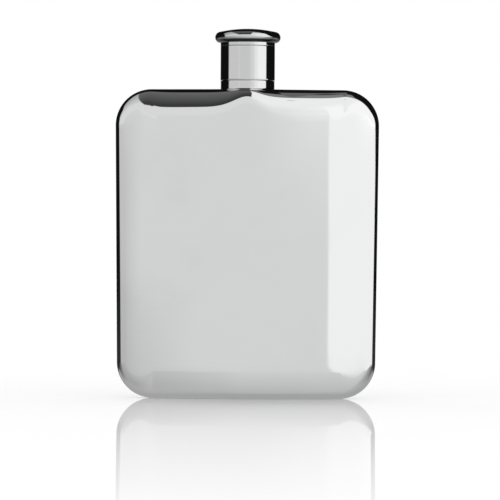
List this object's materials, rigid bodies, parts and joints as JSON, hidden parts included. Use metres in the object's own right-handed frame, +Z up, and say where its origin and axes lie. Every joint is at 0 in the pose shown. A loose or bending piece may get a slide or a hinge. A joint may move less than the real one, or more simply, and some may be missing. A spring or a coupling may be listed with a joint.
{
  "type": "hip flask",
  "caption": "Slim pillow-shaped pocket flask with rounded corners, a short round neck and a plain cylindrical screw cap with a beaded, domed head.",
  "frame": {"origin": "middle of the flat base, on the surface the flask stands on", "axes": "+Z up along the neck, +X to the right across the wide front, +Y to the back; the front face looks along -Y"},
  "size_m": [0.095, 0.026, 0.1333],
  "materials": {
    "polished_steel": "polished",
    "satin_steel": "satin",
    "nylon": "satin",
    "silicone": "matte"
  },
  "bodies": {
    "flask": {"front_shell": "polished_steel", "back_shell": "polished_steel", "neck_collar": "polished_steel", "neck_tube": "satin_steel"},
    "liner": {"cap_liner": "silicone"},
    "cap": {"cap_sleeve": "polished_steel", "cap_head": "polished_steel", "cap_plate": "satin_steel", "thread_bush": "nylon", "slip_washer": "satin_steel"}
  },
  "joints": [
    {"name": "cap_rise", "type": "slide", "parent": "flask", "child": "liner", "axis": [0, 0, 1], "range_m": [0, 0.0175]},
    {"name": "cap_turn", "type": "hinge", "parent": "liner", "child": "cap", "pos_m": [0, 0, 0.1236], "axis": [0, 0, 1], "range_deg": [0, 2520]}
  ],
  "couplings": [
    {"joint": "cap_rise", "follows": "cap_turn", "m_per_rad": 0.00039789}
  ]
}
